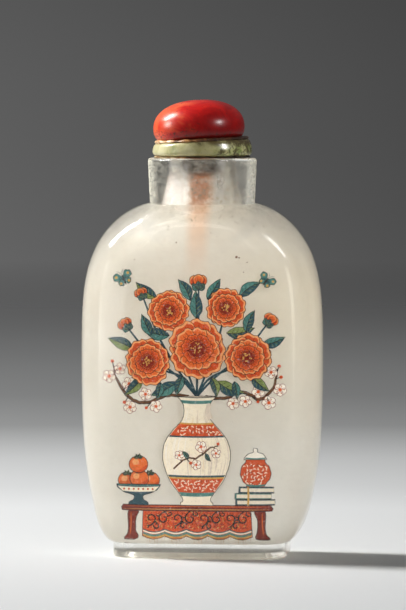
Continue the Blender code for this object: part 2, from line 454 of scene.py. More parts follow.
def ground_glass():
    """The ground inside: a milky skin that passes much light, thin and dirty in the neck, with
    painted light, painted shade and a painted highlight on it.
    """
    look = new_look("ground_glass", Roughness=0.9, Specular_IOR_Level=0.0)
    cloud = look.noise(190.0, 5.0, 0.6)
    grain = look.noise(1700.0, 4.0, 0.65)
    across = look.axis("X")
    height = look.axis("Z")
    aside = abs(across)
    milk = (cloud + grain.fade(0.3, 0.7, -0.12, 0.12)).ramp(
        (0.30, (0.785, 0.75, 0.68)), (0.72, (0.84, 0.815, 0.76)))
    # painted light, not a thicker skin: paler toward the bottom and more so on the right, for light
    # bounced up from the pale floor
    thick = height.over(3.0, 40.0, 1.0, 0.0) * across.over(-12.0, 10.0, 0.6, 1.0)
    warm = (height.over(18.0, 36.0, 0.0, 0.45) * across.over(0.0, 14.0)
            * height.over(50.0, 44.0))
    # darker grey-brown over the shoulder and the lower neck, more toward the right
    darker_shoulder_tone = (height.over(48.0, 58.0) * across.over(-4.5, 1.0, 0.0, 0.22)
            * grain.fade(0.35, 0.6, 0.5, 1.1))
    # painted shade: grey on the narrow sides at the shoulders, more on the left, for the dark room
    # seen through the thin skin there
    painted_edge_shade = (abs(look.axis("Y")).over(1.0, 5.5, 1.0, 0.0) * height.over(41.0, 49.0)
             * across.over(-10.0, 10.0, 0.95, 0.50) * aside.over(4.5, 8.0))
    beside = aside.over(0.7, 2.2, 1.0, 0.0)
    # painted shadow of the spoon: an orange strip down the middle, stronger upward, where the spoon
    # shows through the skin
    stain = beside * height.over(43.0, 54.0) * 0.75
    snuff = height.over(52.0, 56.0) * beside
    crumbs = (grain + snuff * 0.16).fade(0.50, 0.62) * snuff
    head = (height.over(59.1, 59.9) * grain.fade(0.36, 0.54, 0.7, 1.0)
            * aside.over(1.9, 2.5, 1.0, 0.15))
    dirt = (grain + height.over(46.0, 56.0, -0.10, 0.06)).fade(0.60, 0.70)
    # painted highlight: a near-white upright band on the neck's left, for the reflection of a light
    # there
    painted_neck_highlight = (abs(across + 3.1 * MM).over(0.7, 1.6, 1.0, 0.0) * height.over(60.4, 58.2)
             * height.over(52.8, 55.0))
    colour = milk.under(
        (thick, (0.94, 0.93, 0.895)), (warm, (0.78, 0.71, 0.56)), (darker_shoulder_tone, (0.44, 0.41, 0.29)),
        (painted_edge_shade, (0.47, 0.46, 0.43)), (stain, (0.82, 0.52, 0.34)), (crumbs, (0.50, 0.22, 0.12)),
        (head, (0.07, 0.042, 0.032)), (dirt, (0.24, 0.20, 0.14)), (painted_neck_highlight, (0.97, 0.965, 0.95)))
    held = (head * 0.95).largest(painted_neck_highlight, crumbs, stain * 0.85)
    worn = height + cloud.fade(0.3, 0.7, -1.6 * MM, 1.6 * MM)
    bare = worn.over(49.0, 57.5, 0.0, 0.72) * (1.0 - held)
    look.set(Base_Color=colour)
    through = look.node("ShaderNodeBsdfTranslucent", "BSDF", {"Color": colour})
    skin = look.mix_shaders(LINING_TRANSLUCENCE, look.body, through)
    glass = look.node("ShaderNodeBsdfPrincipled", "BSDF", {
        "Base Color": (0.97, 0.96, 0.92), "Roughness": 0.18, "IOR": GLASS_IOR,
        "Transmission Weight": 1.0, "Normal": look.bump(grain, 0.4, 0.06 * MM)})
    look.surface(look.mix_shaders(bare * (1.0 - dirt), skin, look.lamps_through(glass)))
    return look.block


def build_glass():
    """The bottle's one piece of glass, polished outside and ground inside."""
    outer, inner = glass_levels()
    rings = []
    for z, half_x, half_y, plan in outer:
        ring = []
        for x, y in outline(half_x, half_y, plan, RING_QUARTER):
            push = panel_ridge(x, z) * min(1.0, abs(y) / (0.5 * half_y))
            ring.append((x, y + math.copysign(push, y), z))
        rings.append(ring)
    for z, half_x, half_y, plan in inner:
        rings.append([(x, y, z) for x, y in outline(half_x, half_y, plan, RING_QUARTER)])
    slots = [0] * len(outer) + [1] * (len(inner) - 1)
    finish_piece(loft_mesh("bottle_glass", rings, slots), [clear_glass(), ground_glass()],
                 "bottle")


# The stopper


def wobble(point, scale, size):
    """A smooth push for a point, the same each run."""
    return noise.noise(Vector(point) * scale) * size


def build_collar():
    """The mottled stone disc under the cap, with painted shade down its middle."""
    look = new_look("pale_green_stone", Roughness=0.24, Coat_Weight=0.15,
                    Subsurface_Weight=0.15, Subsurface_Radius=(2.0 * MM, 2.0 * MM, 1.0 * MM))
    cloud = look.noise(330.0, 6.0, 0.62, 0.8)
    vein = look.noise(620.0, 7.0, 0.72, 0.4)
    fine = look.noise(2100.0, 4.0, 0.7)
    across = look.axis("X")
    side = across.over(-5.0, 6.5, -0.12, 0.16)
    body = (cloud + side).ramp((0.34, (0.80, 0.75, 0.46)), (0.50, (0.66, 0.62, 0.32)),
                               (0.62, (0.44, 0.45, 0.19)), (0.74, (0.22, 0.27, 0.08)))
    # painted shade: darker brown in a band down the middle
    deep = abs(across - 0.8 * MM).over(0.8, 4.2, 0.62, 0.0)
    spots = (fine + side).fade(0.64, 0.70, 0.0, 0.8)
    stain = (vein + side).fade(0.60, 0.70, 0.0, 0.9).largest(spots)
    low = COLLAR_LOW.z
    crust = (look.axis("Z").fade(low + 1.3 * MM, low + 2.1 * MM) * across.over(-2.5, 1.0)
             * cloud.fade(0.38, 0.52, 0.2, 0.9))
    look.set(Base_Color=body.under((deep, (0.20, 0.17, 0.05)), (crust, (0.10, 0.065, 0.022)),
                                   (stain, (0.07, 0.05, 0.02))),
             Normal=look.bump(vein, 0.3, 0.06 * MM))
    radius = COLLAR_HIGH.x
    height = (COLLAR_HIGH.z - low) / (1.0 + LEAN_SLOPE * COLLAR_EDGE_REACH)
    profile = [(0.0, 0.90), (0.02, 0.94), (0.08, 0.975), (0.18, 0.993), (0.32, 1.0),
               (0.48, 0.996), (0.63, 0.985), (0.77, 0.97), (0.88, 0.955), (0.96, 0.935),
               (1.0, 0.905), (1.0, 0.86)]
    rings = []
    for rise, width in profile:
        lean = max(0.0, rise - 0.4) / 0.6 * LEAN_SLOPE
        ring = []
        for cos, sin in around(STONE_STEPS):
            push = wobble((cos, sin, rise * 2), 1.6, 0.012)
            reach = radius * width * (0.985 + min(push, 0.015))
            ring.append((reach * cos, reach * sin, low + height * rise + lean * reach * cos))
        rings.append(ring)
    finish_piece(loft_mesh("collar_stone", rings), [look.block],
                 "stopper_collar")


def build_cap():
    """The polished red coral dome, set off centre and leaning, with painted shade low on it."""
    look = new_look("red_coral", Roughness=0.29, Specular_IOR_Level=0.38)
    cloud = look.noise(230.0, 5.0, 0.6, 1.2)
    grain = look.noise(2600.0, 3.0, 0.6)
    across = look.axis("X")
    height = look.axis("Z")
    low = CAP_LOW.z
    body = (cloud + across.over(-6.0, 5.0, 0.2, -0.22)).ramp(
        (0.28, (0.32, 0.002, 0.003)), (0.50, (0.52, 0.007, 0.005)),
        (0.74, (0.74, 0.105, 0.034)))
    dirt = (grain + height.fade(low + 0.8 * MM, low + 2.4 * MM, 0.10, 0.0)).fade(
        0.60, 0.74, 0.0, 0.8)
    # painted shade: darker red low on the dome, weak on the left and full from near the middle to
    # the right
    dim = (height.fade(low + 1.0 * MM, low + 4.4 * MM, 0.80, 0.0)
           * across.over(-5.5, -1.5, 0.10, 1.0))
    look.set(Base_Color=body.under((dim, (0.12, 0.004, 0.004)), (dirt, (0.06, 0.016, 0.010))),
             Normal=look.bump(grain, 0.22, 0.05 * MM))
    waist = 0.28 * CAP_HEIGHT
    profile = [(0.0, 0.84), (0.0, 0.895), (0.10 * waist, 0.925), (0.25 * waist, 0.955),
               (0.42 * waist, 0.974), (0.6 * waist, 0.988), (0.8 * waist, 0.997)]
    for i in range(44):
        angle = math.pi / 2 * i / 44
        rise = waist + (CAP_HEIGHT - waist) * math.sin(angle) ** (2 / CAP_POWER)
        profile.append((rise, math.cos(angle) ** (2 / CAP_POWER)))
    base_z = COLLAR_LOW.z + COLLAR_HEIGHT + SEAT_GAP
    rings = []
    for rise, width in profile:
        ring = []
        for cos, sin in around(STONE_STEPS):
            place = (cos * width, sin * width, rise / CAP_HEIGHT)
            reach = CAP_RADIUS * width * (0.994 + wobble(place, 1.3, 0.01))
            x = reach * cos
            ring.append((CAP_SHIFT + x * math.cos(CAP_TILT) + rise * math.sin(CAP_TILT),
                         reach * sin,
                         base_z - x * math.sin(CAP_TILT) + rise * math.cos(CAP_TILT)))
        rings.append(ring)
    finish_piece(loft_mesh("cap_coral", rings), [look.block], "stopper_cap")


def bead_section(cos, sin, reach, half_width, half_height, z, steps):
    """The small oval ring of points where a bead round the axis is cut, at one angle."""
    return [((reach + half_width * out) * cos, (reach + half_width * out) * sin,
             z + half_height * up) for out, up in around(steps)]


def build_glue():
    """The uneven bead of old glue between cap and collar, and its trace on the rim."""
    look = new_look("old_glue", Roughness=0.35)
    cloud = look.noise(520.0, 5.0, 0.65, 0.6)
    tone = cloud + look.axis("X").over(-6.0, 5.0, 0.17, -0.17)
    look.set(Base_Color=tone.ramp((0.34, (0.035, 0.014, 0.006)), (0.50, (0.15, 0.055, 0.018)),
                                  (0.62, (0.46, 0.22, 0.07)), (0.74, (0.78, 0.62, 0.38))),
             Normal=look.bump(cloud, 0.6, 0.1 * MM))
    seam_z = COLLAR_LOW.z + COLLAR_HEIGHT + SEAT_GAP / 2
    bead = []
    trace = []
    for cos, sin in around(160):
        lump = noise.fractal(Vector((cos, sin, 0.3)) * 3.1, 0.9, 2.0, 4)
        reach = (6.72 + 0.22 * lump) * MM
        section = bead_section(cos, sin, reach, 0.55 * MM, (0.26 + 0.16 * lump) * MM,
                               seam_z + LEAN_SLOPE * reach * cos, 12)
        bead.append([(x - 0.15 * MM, y, z) for x, y, z in section])
    for cos, sin in around(96):
        reach = 7.15 * MM + wobble((cos, sin, 5.0), 2.4, 0.3 * MM)
        trace.append(bead_section(cos, sin, reach, 0.3 * MM, SEAT_GAP / 2, RIM_Z + SEAT_GAP / 2,
                                  8))
    for name, rings in (("glue_bead", bead), ("rim_trace", trace)):
        finish_piece(loft_mesh(name, rings, closed=True), [look.block])


def build_cork():
    """The cork: a dark head in the mouth and a grainy stub below it."""
    look = new_look("brown_cork", Roughness=0.8)
    grain = look.noise(1900.0, 5.0, 0.7)
    top = CORK_HIGH.z
    # darker over the top of the head
    dark_top = look.axis("Z").fade(top - 2.3 * MM, top - 1.6 * MM)
    body = grain.ramp((0.34, (0.16, 0.065, 0.035)), (0.50, (0.40, 0.20, 0.11)),
                      (0.68, (0.72, 0.42, 0.24)))
    look.set(Base_Color=body.under((dark_top, (0.085, 0.03, 0.03))),
             Normal=look.bump(grain, 0.7, 0.15 * MM))
    radius = CORK_HIGH.x
    length = top - CORK_LOW.z
    head = 1.8 * MM
    stub = radius - 1.2 * MM
    levels = [(0.0, 0.96 * radius), (0.08 * MM, radius)]
    levels += [(head * i / 6, radius) for i in range(1, 6)]
    levels += [(head - 0.05 * MM, 0.99 * radius), (head, 0.95 * radius), (head, stub)]
    levels += [(head + (length - head) * i / 22, stub * (1.0 - 0.08 * i / 22))
               for i in range(1, 22)]
    levels += [(length - 0.05 * MM, 0.9 * stub), (length, 0.8 * stub)]
    rings = []
    for depth, reach in levels:
        ring = []
        for cos, sin in around(72):
            place = Vector((cos * reach, sin * reach, -depth))
            pit = noise.fractal(place * 1500.0, 0.8, 2.0, 3) * 0.07 * MM
            size = reach + min(0.0, pit)
            ring.append((size * cos, size * sin, top - depth))
        rings.append(ring)
    finish_piece(loft_mesh("cork_plug", rings), [look.block], "stopper_cork")


def build_spoon():
    """The thin horn spoon under the cork, with a hollowed bowl."""
    look = new_look("brown_horn", Roughness=0.35)
    streak = look.noise(900.0, 3.0, stretch=(1, 1, 0.12))
    look.set(Base_Color=streak.ramp((0.3, (0.45, 0.20, 0.09)), (0.7, (0.68, 0.38, 0.20))),
             Normal=look.bump(streak, 0.2, 0.05 * MM))
    top = SPOON_HIGH.z
    tip = SPOON_LOW.z
    bowl_x = SPOON_HIGH.x
    thick = SPOON_HIGH.y
    bowl_top = tip + 8.0 * MM
    stem_x = 1.4 * MM
    neck_x = 0.8 * stem_x
    rings = []
    for i in range(61):
        z = top + (tip - top) * i / 60
        dish = 0.0
        width = stem_x * (1.0 - 0.2 * (top - z) / (top - bowl_top))
        if z < bowl_top:
            along = (bowl_top - z) / (bowl_top - tip)
            width = neck_x + (bowl_x - neck_x) * math.sin(math.pi * min(0.5, along))
            if along > 0.5:
                width = bowl_x * math.sqrt(1.0 - (2 * along - 1) ** 2)
            width = max(width, 0.18 * bowl_x)
            dish = math.sin(math.pi * along) * 0.75
        ring = []
        for cos, sin in around(32):
            hollow = dish * thick * 1.1 * sin ** 2 if sin < 0.0 else 0.0
            ring.append((width * cos, thick * sin + hollow, z))
        rings.append(ring)
    finish_piece(loft_mesh("spoon_horn", rings), [look.block], "stopper_spoon")


# The painting on the inner front wall


COAT = 0.0007 * MM
FIRST_COAT = 0.03 * MM
THICK_COAT = 0.004 * MM
PATCH_STEP = 0.5
TABLE_TOP = 8.45
hand = random.Random(11)


def wall_y(x, z):
    """How deep the hollow's front wall lies at a place across and up the panel."""
    _, half_x, half_y, plan = body_level(z, HOLLOW)
    share = min(abs(x) / half_x, 0.97)
    return half_y * (1.0 - share ** plan[0]) ** (1.0 / plan[1])


def smooth(points, closed=False, steps=6):
    """A smooth path through points in the plane of the painting."""
    points = [np.array(point, dtype=float) for point in points]
    if closed:
        run = [points[-1]] + points + points[:2]
    else:
        run = [2 * points[0] - points[1]] + points + [2 * points[-1] - points[-2]]
    path = []
    for i in range(len(run) - 3):
        a, b, c, d = run[i:i + 4]
        for j in range(steps):
            t = j / steps
            path.append(0.5 * (2 * b + (c - a) * t + (2 * a - 5 * b + 4 * c - d) * t * t
                               + (3 * b - a - 3 * c + d) * t ** 3))
    if not closed:
        path.append(points[-1])
    return np.array(path)


def close_spaced(path):
    """A path with points added where they are far apart, so that it follows the curved wall."""
    spaced = []
    for (x0, z0), (x1, z1) in zip(path[:-1], path[1:]):
        parts = max(1, math.ceil(math.hypot(x1 - x0, z1 - z0) / PATCH_STEP))
        for i in range(parts):
            spaced.append((float(x0 + (x1 - x0) * i / parts), float(z0 + (z1 - z0) * i / parts)))
    spaced.append((float(path[-1][0]), float(path[-1][1])))
    return spaced


def placed(points, centre, turn=0.0, size=1.0):
    """Points turned by an angle, sized and moved to a centre."""
    cos, sin = math.cos(turn), math.sin(turn)
    return [(centre[0] + size * (x * cos - z * sin), centre[1] + size * (x * sin + z * cos))
            for x, z in points]


def trembled(points, size=0.08):
    """Points moved a little, as a brush in the hand moves."""
    return [(x + size * noise.noise(Vector((x * 2.1, z * 2.1, 3.0))),
             z + size * noise.noise(Vector((x * 2.1, z * 2.1, 9.0)))) for x, z in points]


class Brush:
    """Brush marks kept by pigment, in millimetres across and up, each coat over the last."""

    def __init__(self):
        self.points = {}
        self.faces = {}
        self.start(COAT)

    def start(self, thickness):
        """Start from the bare wall again, with coats of a thickness."""
        self.lift = FIRST_COAT
        self.thickness = thickness

    def coat(self):
        """Start a coat over what is painted."""
        self.lift += self.thickness
        return self

    def add(self, pigment, places, faces):
        """Lay flat faces on the wall."""
        points = self.points.setdefault(pigment, [])
        start = len(points)
        for x, z in places:
            points.append((x * MM, -wall_y(x * MM, z * MM) - self.lift, z * MM))
        self.faces.setdefault(pigment, []).extend(
            tuple(start + i for i in face) for face in faces)

    def fill(self, pigment, edge):
        """Fill a closed outline, with more points on and inside it where it is large."""
        edge = [Vector(point) for point in close_spaced(edge + edge[:1])[:-1]]
        xs = [point.x for point in edge]
        zs = [point.y for point in edge]
        inside = []
        if max(max(xs) - min(xs), max(zs) - min(zs)) > 2 * PATCH_STEP:
            for x in np.arange(min(xs) + PATCH_STEP / 2, max(xs), PATCH_STEP):
                for z in np.arange(min(zs) + PATCH_STEP / 2, max(zs), PATCH_STEP):
                    inside.append(Vector((float(x), float(z))))
        points, _, faces, _, _, _ = delaunay_2d_cdt(
            edge + inside, [], [list(range(len(edge)))], 1, 1e-5)
        self.add(pigment, [(point.x, point.y) for point in points], faces)

    def stroke(self, pigment, path, width, start=0.35, end=0.2):
        """A brush line along a path, fullest in its middle; start and end are shares of it."""
        path = np.array(close_spaced(path))
        ahead = np.gradient(path, axis=0)
        length = np.maximum(np.hypot(ahead[:, 0], ahead[:, 1]), 1e-9)
        side = np.column_stack((-ahead[:, 1], ahead[:, 0])) / length[:, None]
        along = np.linspace(0.0, 1.0, len(path))
        press = start + (end - start) * along
        press = press + (1.0 - press) * np.sin(np.pi * along) ** 0.7
        reach = (width / 2 * press)[:, None] * side
        count = len(path)
        faces = [(i, i + 1, count + i + 1, count + i) for i in range(count - 1)]
        self.add(pigment, np.vstack((path - reach, path + reach)), faces)

    def shape(self, pigment, edge, line="ink", width=0.11):
        """A filled outline with a drawn line round it."""
        edge = trembled(edge)
        self.coat().fill(pigment, edge)
        self.coat().stroke(line, edge + edge[:1], width, 0.8, 0.8)

    def dot(self, pigment, centre, radius):
        """A round touch of the brush."""
        self.add(pigment, placed(around(8), centre, size=radius), [tuple(range(8))])

    def specks(self, pigment, inside, box, step, length, width):
        """Small curled touches of a pattern over an area."""
        self.coat()
        x0, z0, x1, z1 = box
        for x in np.arange(x0, x1, step):
            for z in np.arange(z0, z1, step):
                place = (x + hand.uniform(-0.3, 0.3) * step, z + hand.uniform(-0.3, 0.3) * step)
                if inside(*place):
                    curl = [(-0.5, 0.0), (0.0, 0.28), (0.5, -0.05)]
                    turn = hand.uniform(0.0, 2 * math.pi)
                    self.stroke(pigment, placed(curl, place, turn, length), width, 0.9, 0.6)


def petal_edge(length, width, scallops):
    """The outline of a petal that grows along +X from its base, with a scalloped end."""
    edge = []
    for i in range(30):
        turn = 0.96 * math.pi * (i / 29 - 0.5)
        reach = 0.52 + 0.44 * math.cos(turn) ** 0.45
        reach += 0.045 * math.cos(2 * scallops * turn) * math.cos(turn)
        edge.append((reach * length, 0.56 * width * math.sin(turn)))
    base = [(0.26, 0.36), (0.08, 0.14), (0.0, 0.0), (0.08, -0.14), (0.26, -0.36)]
    return edge + [(along * length, aside * width) for along, aside in base]


def petal(brush, centre, turn, length, width, body, rim, scallops=3):
    """A petal with a pale rim, darker toward its base, and fine veins."""
    edge = petal_edge(length, width, scallops)
    brush.shape(rim, placed(edge, centre, turn), "dark_line", 0.10)
    brush.coat().fill(body, placed(edge, centre, turn, 0.90))
    brush.coat()
    for spread in (-0.3, -0.1, 0.12, 0.3):
        vein = [(0.25, 0.3 * spread), (0.55, 0.75 * spread), (0.84, spread)]
        vein = [(x * length, z * width) for x, z in vein]
        brush.stroke("deep_red", placed(vein, centre, turn), 0.10, 1.0, 0.1)


def peony(brush, centre, radius):
    """A full double flower: rings of petals, the inner ones smaller and redder."""
    rings = [(1.00, 8, "iron_red", "pale_orange"), (0.76, 7, "vermilion", "pale_orange"),
             (0.54, 6, "iron_red", "vermilion"), (0.34, 5, "deep_red", "vermilion")]
    for share, count, body, rim in rings:
        lead = hand.uniform(0.0, 2 * math.pi)
        for i in range(count):
            turn = lead + 2 * math.pi * i / count + hand.uniform(-0.12, 0.12)
            length = radius * share * hand.uniform(0.92, 1.05)
            petal(brush, centre, turn, length, length * hand.uniform(0.80, 0.95), body, rim)
    brush.coat()
    for _ in range(14):
        turn = hand.uniform(0.0, 2 * math.pi)
        reach = radius * 0.2 * math.sqrt(hand.random())
        brush.dot("ochre", placed([(reach, 0.0)], centre, turn)[0], 0.12)


def bud(brush, base, turn, size):
    """A closing bud in green sepals at the end of its stalk."""
    for spread, body in ((-0.5, "iron_red"), (0.5, "iron_red"), (0.0, "vermilion")):
        petal(brush, base, turn + spread * 0.7, size, size * 0.62, body, "pale_orange", 1)
    for spread in (-0.75, 0.0, 0.75):
        leaf(brush, base, turn + spread, size * 0.6, size * 0.24, 0.0)


def leaf(brush, base, turn, length, width, bend=0.3, body="teal"):
    """A pointed leaf with one half in shade, a rib and side veins."""
    def rib(share):
        return share * length, bend * length * (share * share - share)

    upper, lower = [], []
    for i in range(13):
        share = i / 12
        x, z = rib(share)
        half = width * math.sin(math.pi * share ** 0.8) ** 1.1
        upper.append((x, z + half))
        lower.append((x, z - half))
    brush.shape(body, placed(upper + lower[::-1][1:-1], base, turn), "ink", 0.10)
    brush.coat()
    middle = [rib(i / 12) for i in range(13)]
    brush.fill("dark_teal", placed(middle + lower[::-1][1:-1], base, turn))
    brush.coat().stroke("ink", placed(middle, base, turn), 0.12, 1.0, 0.2)
    for i in range(2, 11, 2):
        for side, edge in ((1, upper), (-1, lower)):
            x, z = middle[i]
            tip = edge[min(i + 2, 12)]
            vein = [(x, z), ((x + tip[0]) / 2, (z + tip[1]) / 2 - 0.03 * side),
                    (x + 0.85 * (tip[0] - x), z + 0.85 * (tip[1] - z))]
            brush.stroke("ink" if side > 0 else "leaf_green", placed(vein, base, turn), 0.07)


def blossom(brush, centre, size):
    """A small five-petalled blossom with a red heart."""
    lead = hand.uniform(0.0, 2 * math.pi)
    for i in range(5):
        petal_place = placed([(0.55 * size, 0.0)], centre, lead + 2 * math.pi * i / 5)[0]
        brush.shape("pale_cream", placed(around(12), petal_place, size=0.46 * size),
                    "deep_red", 0.08)
    brush.coat().dot("vermilion", centre, 0.26 * size)
    brush.coat()
    for i in range(5):
        tip = placed([(0.6 * size, 0.0)], centre, lead + 0.3 + 2 * math.pi * i / 5)[0]
        brush.stroke("iron_red", [centre, tip], 0.07, 1.0, 0.6)
        brush.dot("ochre", tip, 0.08)


def twig(brush, points, width, blossoms):
    """A brown branch with knots, and blossoms at shares of its length."""
    path = trembled(smooth(points), 0.25)
    brush.coat().stroke("ink", path, width * 1.25, 1.0, 0.25)
    brush.coat().stroke("bark", [(x, z + 0.03) for x, z in path], width * 0.8, 1.0, 0.15)
    for share, aside, size in blossoms:
        x, z = path[int(share * (len(path) - 1))]
        brush.coat().stroke("ink", [(x, z), (x + aside[0] * 0.6, z + aside[1] * 0.7),
                                    (x + aside[0], z + aside[1])], 0.16, 1.0, 0.5)
        if size > 0.6:
            blossom(brush, (x + aside[0], z + aside[1]), size)
        else:
            brush.coat().dot("iron_red", (x + aside[0], z + aside[1]), 0.55 * size)


def butterfly(brush, centre, turn, size):
    """A teal butterfly with open wings."""
    for side in (1, -1):
        for spread, length, width in ((0.95, 1.0, 0.62), (2.15, 0.66, 0.52)):
            reach = size * length
            wing_turn = turn + side * spread
            edge = petal_edge(reach, size * width, 2)
            brush.shape("teal", placed(edge, centre, wing_turn), "ink", 0.10)
            spot = placed([(0.7 * reach, 0.0)], centre, wing_turn)[0]
            brush.coat().dot("ochre", spot, 0.13 * size)
            brush.coat()
            for fan in (-0.16, 0.0, 0.16):
                vein = [(0.1 * size, 0.0), (0.5 * reach, fan * size)]
                brush.stroke("dark_teal", placed(vein, centre, wing_turn), 0.12)
    body = [(-0.5, 0.0), (0.0, 0.0), (0.4, 0.0)]
    brush.coat().stroke("ink", placed(body, centre, turn, size), 0.26, 0.5, 0.7)
    for side in (1, -1):
        feeler = [(0.4, 0.0), (0.7, 0.12 * side), (0.9, 0.34 * side)]
        brush.stroke("ink", placed(feeler, centre, turn, size), 0.07)


def turned(profile, centre_x):
    """The outline of a turned vessel from its (height, half width) profile."""
    half = smooth([(width, z) for z, width in profile], steps=5)
    right = [(centre_x + width, z) for width, z in half]
    left = [(centre_x - width, z) for width, z in half[::-1]]
    return right + left, half


def width_at(half, z):
    """A turned vessel's half width at a height."""
    return float(np.interp(z, half[:, 1], half[:, 0]))


def band(brush, half, centre_x, low, high, pigment):
    """A painted band round a turned vessel, sagging a little as it goes round."""
    edge = []
    for level, direction in ((low, 1), (high, -1)):
        width = 0.97 * width_at(half, level)
        for i in range(17):
            share = direction * (i / 8 - 1.0)
            edge.append((centre_x + width * share, level - 0.12 * (1.0 - share * share)))
    brush.coat().fill(pigment, edge)


def scroll(brush, centre, size, turn, width):
    """A curled scroll with a tail and two small leaves."""
    curl = []
    for i in range(16):
        share = i / 15
        angle = 1.55 * math.pi * share
        reach = 0.5 * (1.0 - 0.72 * share)
        curl.append((reach * math.cos(angle), reach * math.sin(angle)))
    tail = [(0.5, 0.0), (0.42, -0.32), (0.1, -0.62), (-0.35, -0.75)]
    brush.stroke("ink", placed(smooth(tail[::-1])[:-1].tolist() + curl, centre, turn, size),
                 width, 0.2, 0.7)
    for place, lean in (((0.46, -0.25), -0.5), ((-0.05, -0.68), -2.2)):
        tick = placed([(0.0, 0.0), (0.18, 0.05), (0.34, 0.0)], place, lean)
        brush.stroke("ink", placed(tick, centre, turn, size), width * 0.9, 0.9, 0.2)


def brocade(brush, inside, box):
    """Cream curls and dark touches over an orange-red ground."""
    step = 0.55
    brush.specks("cream", inside, box, step, 0.42, 0.15)
    brush.specks("deep_red", inside, box, step * 1.6, 0.36, 0.13)


def paint_table(brush):
    """A low lacquered table with a hanging cloth."""
    for side, inner, outer in ((-1, 9.0, 10.6), (1, 8.8, 10.4)):
        leg = [(side * inner, 7.6), (side * outer, 7.6), (side * outer, 5.2),
               (side * (outer + 0.15), 4.1), (side * (outer + 0.6), 3.4),
               (side * (inner + 0.2), 3.4), (side * (inner + 0.5), 4.6),
               (side * (inner + 0.45), 6.2)]
        brush.shape("dark_red", smooth(leg, closed=True, steps=3).tolist())
        brush.coat()
        shine = [(side * (outer - 0.4), 7.2), (side * (outer - 0.4), 5.4),
                 (side * (outer - 0.25), 3.9)]
        brush.stroke("vermilion", shine, 0.16)

    def hem_z(x):
        return 3.7 - 0.45 * abs(math.sin(math.pi * (x + 8.5) / 3.4))

    def on_cloth(x, z):
        return abs(x) < 7.9

    hem = [(x, hem_z(x)) for x in [8.5 - 17.0 * i / 60 for i in range(61)]]
    brush.shape("iron_red", [(-8.3, 8.0), (8.3, 8.0)] + hem)
    for rise, pigment, width in ((0.25, "ochre", 0.3), (0.55, "teal", 0.34), (0.9, "cream", 0.2),
                                 (1.12, "dark_teal", 0.16)):
        brush.coat().stroke(pigment, [(x * 0.985, z + rise) for x, z in hem], width, 1.0, 1.0)
    brush.specks("deep_red", on_cloth, (-7.9, 5.1, 7.9, 7.5), 0.5, 0.45, 0.13)
    brush.specks("ochre", on_cloth, (-7.9, 5.1, 7.9, 7.5), 0.8, 0.36, 0.12)
    brush.coat()
    for i in range(8):
        x = -7.2 + 2.05 * i
        side = 1 - 2 * (i % 2)
        scroll(brush, (x, 6.3), 1.5, hand.uniform(-0.3, 0.3) + math.pi * (i % 2), 0.24)
        scroll(brush, (x + 0.9, 6.2 - 0.9 * side), 0.8, hand.uniform(0.0, 6.0), 0.19)
    brush.coat()
    for i in range(44):
        x = -8.2 + 16.4 * i / 43
        z = hem_z(x)
        brush.stroke("ochre" if i % 3 else "cream", [(x, z), (x + 0.03, z - 0.42)], 0.14)
    board = [(-11.5, 7.5), (11.4, 7.5), (11.6, 7.9), (11.2, TABLE_TOP), (-11.3, TABLE_TOP),
             (-11.7, 7.95)]
    brush.shape("dark_red", board)
    brush.coat().stroke("vermilion", [(-11.1, 8.2), (0.0, 8.22), (11.0, 8.2)], 0.14)
    brush.stroke("ochre", [(-11.3, 7.75), (0.0, 7.77), (11.2, 7.75)], 0.12)


def paint_vase(brush):
    """The cream vase in the middle, with bands and a flowering sprig."""
    profile = [(TABLE_TOP, 2.5), (8.8, 2.5), (9.3, 2.15), (10.3, 2.7), (12.2, 4.1), (14.4, 5.0),
               (16.4, 5.25), (18.4, 4.8), (20.3, 3.4), (21.6, 2.25), (23.0, 1.95), (24.2, 2.15),
               (25.0, 2.8), (25.3, 3.0)]
    edge, half = turned(profile, 0.0)
    brush.shape("cream", edge)
    brush.coat()
    for i in range(70):
        share = hand.uniform(-0.96, 0.96)
        low = hand.uniform(9.6, 20.0)
        high = min(24.6, low + hand.uniform(1.5, 5.0))
        path = []
        for j in range(7):
            z = low + (high - low) * j / 6
            path.append((share * width_at(half, z), z))
        shade = "grey_pink" if share > 0.35 or i % 3 else "pale_ochre"
        if share < -0.3:
            shade = "pale_cream"
        brush.stroke(shade, path, 0.12)
    for low, high, pigment in ((9.9, 10.5, "teal"), (10.5, 12.6, "iron_red"), (12.6, 12.85, "ochre"),
                               (12.85, 13.15, "dark_teal"), (19.0, 19.25, "dark_teal"),
                               (19.25, 21.0, "iron_red"), (21.0, 21.25, "ochre"),
                               (24.2, 24.7, "teal")):
        band(brush, half, 0.0, low, high, pigment)

    def in_low_band(x, z):
        return abs(x) < 0.9 * width_at(half, z) and 10.65 < z < 12.35

    def in_high_band(x, z):
        return abs(x) < 0.88 * width_at(half, z) and 19.35 < z < 20.8

    brocade(brush, in_low_band, (-4.5, 10.6, 4.5, 12.5))
    brocade(brush, in_high_band, (-4.5, 19.3, 4.5, 20.9))
    twig(brush, [(-3.6, 14.0), (-1.8, 15.6), (0.2, 15.8), (2.2, 17.4), (3.4, 17.5)], 0.22,
         [(0.2, (-0.3, 1.0), 0.75), (0.45, (0.4, -1.0), 0.8), (0.6, (-0.2, 1.2), 0.9),
          (0.85, (0.3, -0.9), 0.75), (0.98, (0.2, 0.4), 0.45), (0.3, (0.6, -0.7), 0.45)])
    leaf(brush, (-1.3, 15.6), 2.2, 1.5, 0.32)
    leaf(brush, (1.4, 16.5), -1.0, 1.5, 0.32)
    brush.coat().stroke("ink", [(-2.9, 25.2), (0.0, 25.05), (2.9, 25.2)], 0.12, 0.9, 0.9)
    brush.coat().fill("grey_pink", [(2.5, 22.0), (2.1, 23.0), (2.3, 24.1), (1.6, 24.1), (1.3, 22.8),
                                    (1.8, 21.5)])


